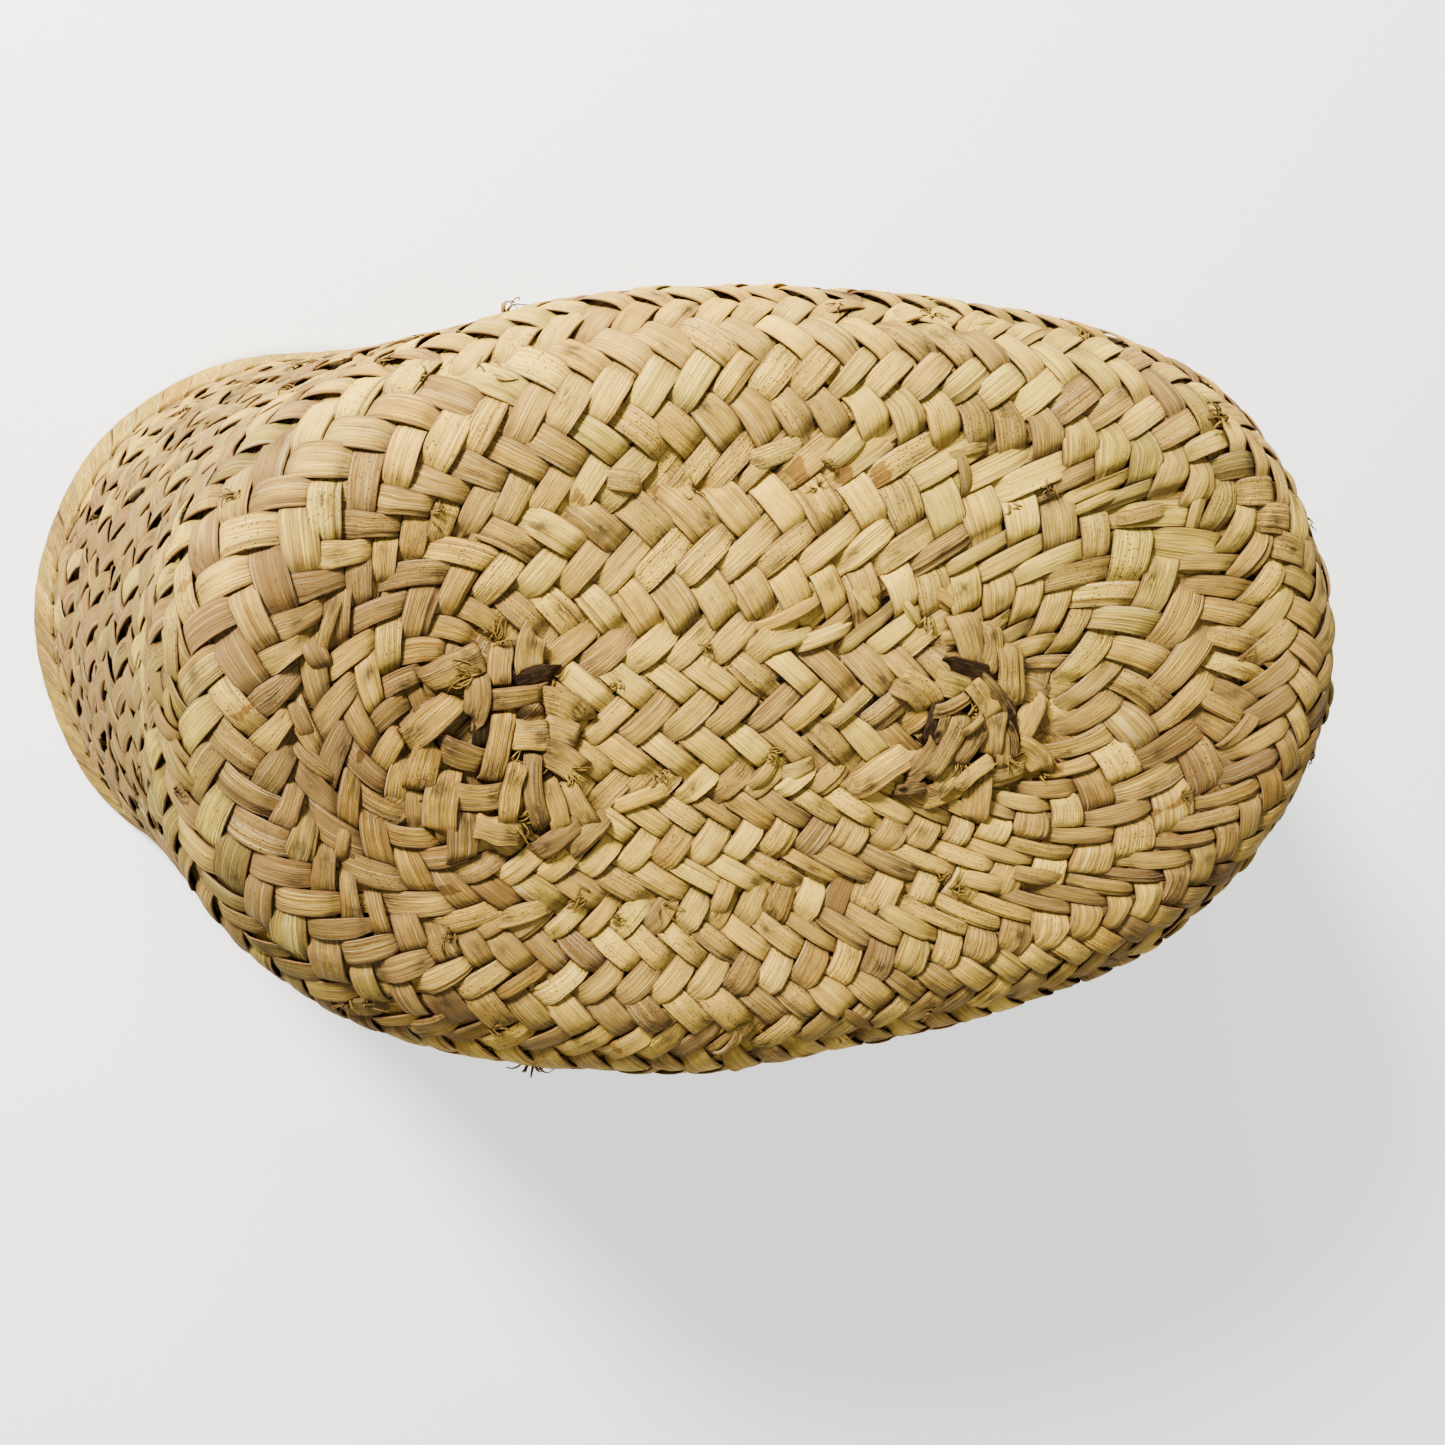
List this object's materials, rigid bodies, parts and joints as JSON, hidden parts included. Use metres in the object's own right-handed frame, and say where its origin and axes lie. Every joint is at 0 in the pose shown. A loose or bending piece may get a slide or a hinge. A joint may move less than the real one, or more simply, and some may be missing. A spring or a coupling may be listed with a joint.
{
  "type": "oval plaited palm-leaf basket",
  "caption": "Soft oval basket of one palm-leaf plait coiled from a centre strip and laced edge to edge, standing mouth down on its folded rim, with knots on the closed base.",
  "frame": {"origin": "centre of the mouth, on the plane the rim rests on", "axes": "+Z from the mouth towards the closed base, +X along the long axis of the oval"},
  "size_m": [0.4516, 0.232, 0.2124],
  "materials": {
    "centre_plait": "dry palm leaf, matte with a faint sheen",
    "base_turn_1": "dry palm leaf, matte with a faint sheen",
    "base_turn_2": "dry palm leaf, matte with a faint sheen",
    "bend_turn": "dry palm leaf, matte with a faint sheen",
    "wall_turn_1": "dry palm leaf, matte with a faint sheen",
    "wall_turn_2": "dry palm leaf, matte with a faint sheen",
    "wall_turn_3": "dry palm leaf, matte with a faint sheen",
    "rim_edge": "dry palm leaf, folded edge",
    "tight_knot": "crumpled dry palm leaf",
    "gathered_knot": "crumpled dry palm leaf",
    "lacing": "twisted palm-leaf cord"
  },
  "bodies": {
    "root": {"centre_plait": "centre_plait", "base_turn_1": "base_turn_1", "base_turn_2": "base_turn_2", "bend_turn": "bend_turn", "wall_turn_1": "wall_turn_1", "wall_turn_2": "wall_turn_2", "wall_turn_3": "wall_turn_3", "rim_edge": "rim_edge", "tight_knot": "tight_knot", "gathered_knot": "gathered_knot", "lacing_1": "lacing", "lacing_2": "lacing", "lacing_3": "lacing", "lacing_4": "lacing", "lacing_5": "lacing", "lacing_6": "lacing"}
  },
  "joints": []
}
